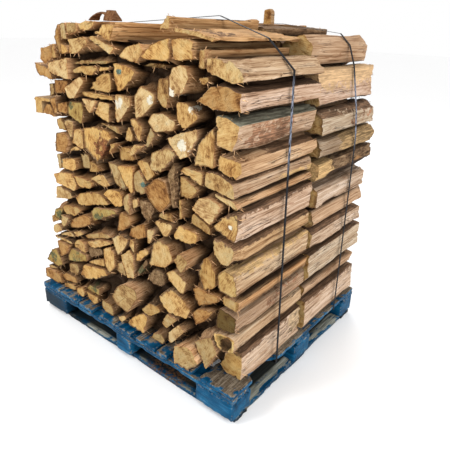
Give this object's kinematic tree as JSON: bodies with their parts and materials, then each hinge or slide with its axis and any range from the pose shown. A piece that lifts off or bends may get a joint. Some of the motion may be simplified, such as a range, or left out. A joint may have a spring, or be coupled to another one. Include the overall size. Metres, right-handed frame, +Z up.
{
  "type": "pallet of split firewood",
  "caption": "Split firewood logs stacked in two ranks on a blue-painted wooden block pallet, held by two narrow black straps.",
  "frame": {"origin": "centre of the pallet's underside, on the lower face of the middle base board", "axes": "+Z up from the ground; +X along the 1.2 m side of the pallet; +Y along the logs, from the near rank to the far rank"},
  "size_m": [1.2124, 1.0309, 1.4082],
  "materials": {
    "painted_wood": "worn matt blue paint over grey weathered softwood",
    "split_wood": "raw split and sawn hardwood, some faces with bark",
    "bark": "rough dark bark",
    "strap_plastic": "smooth black strapping"
  },
  "bodies": {
    "root": {"base_board_near": "painted_wood", "base_board_far": "painted_wood", "base_board_left": "painted_wood", "base_board_middle": "painted_wood", "base_board_right": "painted_wood", "block_near_left": "painted_wood", "block_near_middle": "painted_wood", "block_near_right": "painted_wood", "block_middle_left": "painted_wood", "block_middle_middle": "painted_wood", "block_middle_right": "painted_wood", "block_far_left": "painted_wood", "block_far_middle": "painted_wood", "block_far_right": "painted_wood", "stringer_near": "painted_wood", "stringer_middle": "painted_wood", "stringer_far": "painted_wood", "deck_board_1": "painted_wood", "deck_board_2": "painted_wood", "deck_board_3": "painted_wood", "deck_board_4": "painted_wood", "deck_board_5": "painted_wood", "deck_board_6": "painted_wood", "deck_board_7": "painted_wood", "deck_board_8": "painted_wood", "deck_board_9": "painted_wood", "corner_log_01": "split_wood", "corner_log_02": "split_wood", "corner_log_03": "split_wood", "corner_log_04": "split_wood", "corner_log_05": "split_wood", "corner_log_06": "split_wood", "corner_log_07": "split_wood", "corner_log_08": "split_wood", "corner_log_09": "split_wood", "corner_log_10": "split_wood", "corner_log_11": "split_wood", "left_log_1": "split_wood", "left_log_2": "split_wood", "left_log_3": "split_wood", "top_log_1": "split_wood", "top_log_2": "split_wood", "top_log_3": "split_wood", "top_log_4": "split_wood", "side_log_01": "split_wood", "side_log_02": "split_wood", "side_log_03": "split_wood", "side_log_04": "split_wood", "side_log_05": "split_wood", "side_log_06": "split_wood", "side_log_07": "split_wood", "side_log_08": "split_wood", "near_rank_logs": "split_wood", "far_rank_logs": "split_wood", "hooked_slab": "split_wood", "upright_stick": "split_wood", "bark_chip": "bark", "strap_near": "strap_plastic", "strap_far": "strap_plastic"}
  },
  "joints": []
}
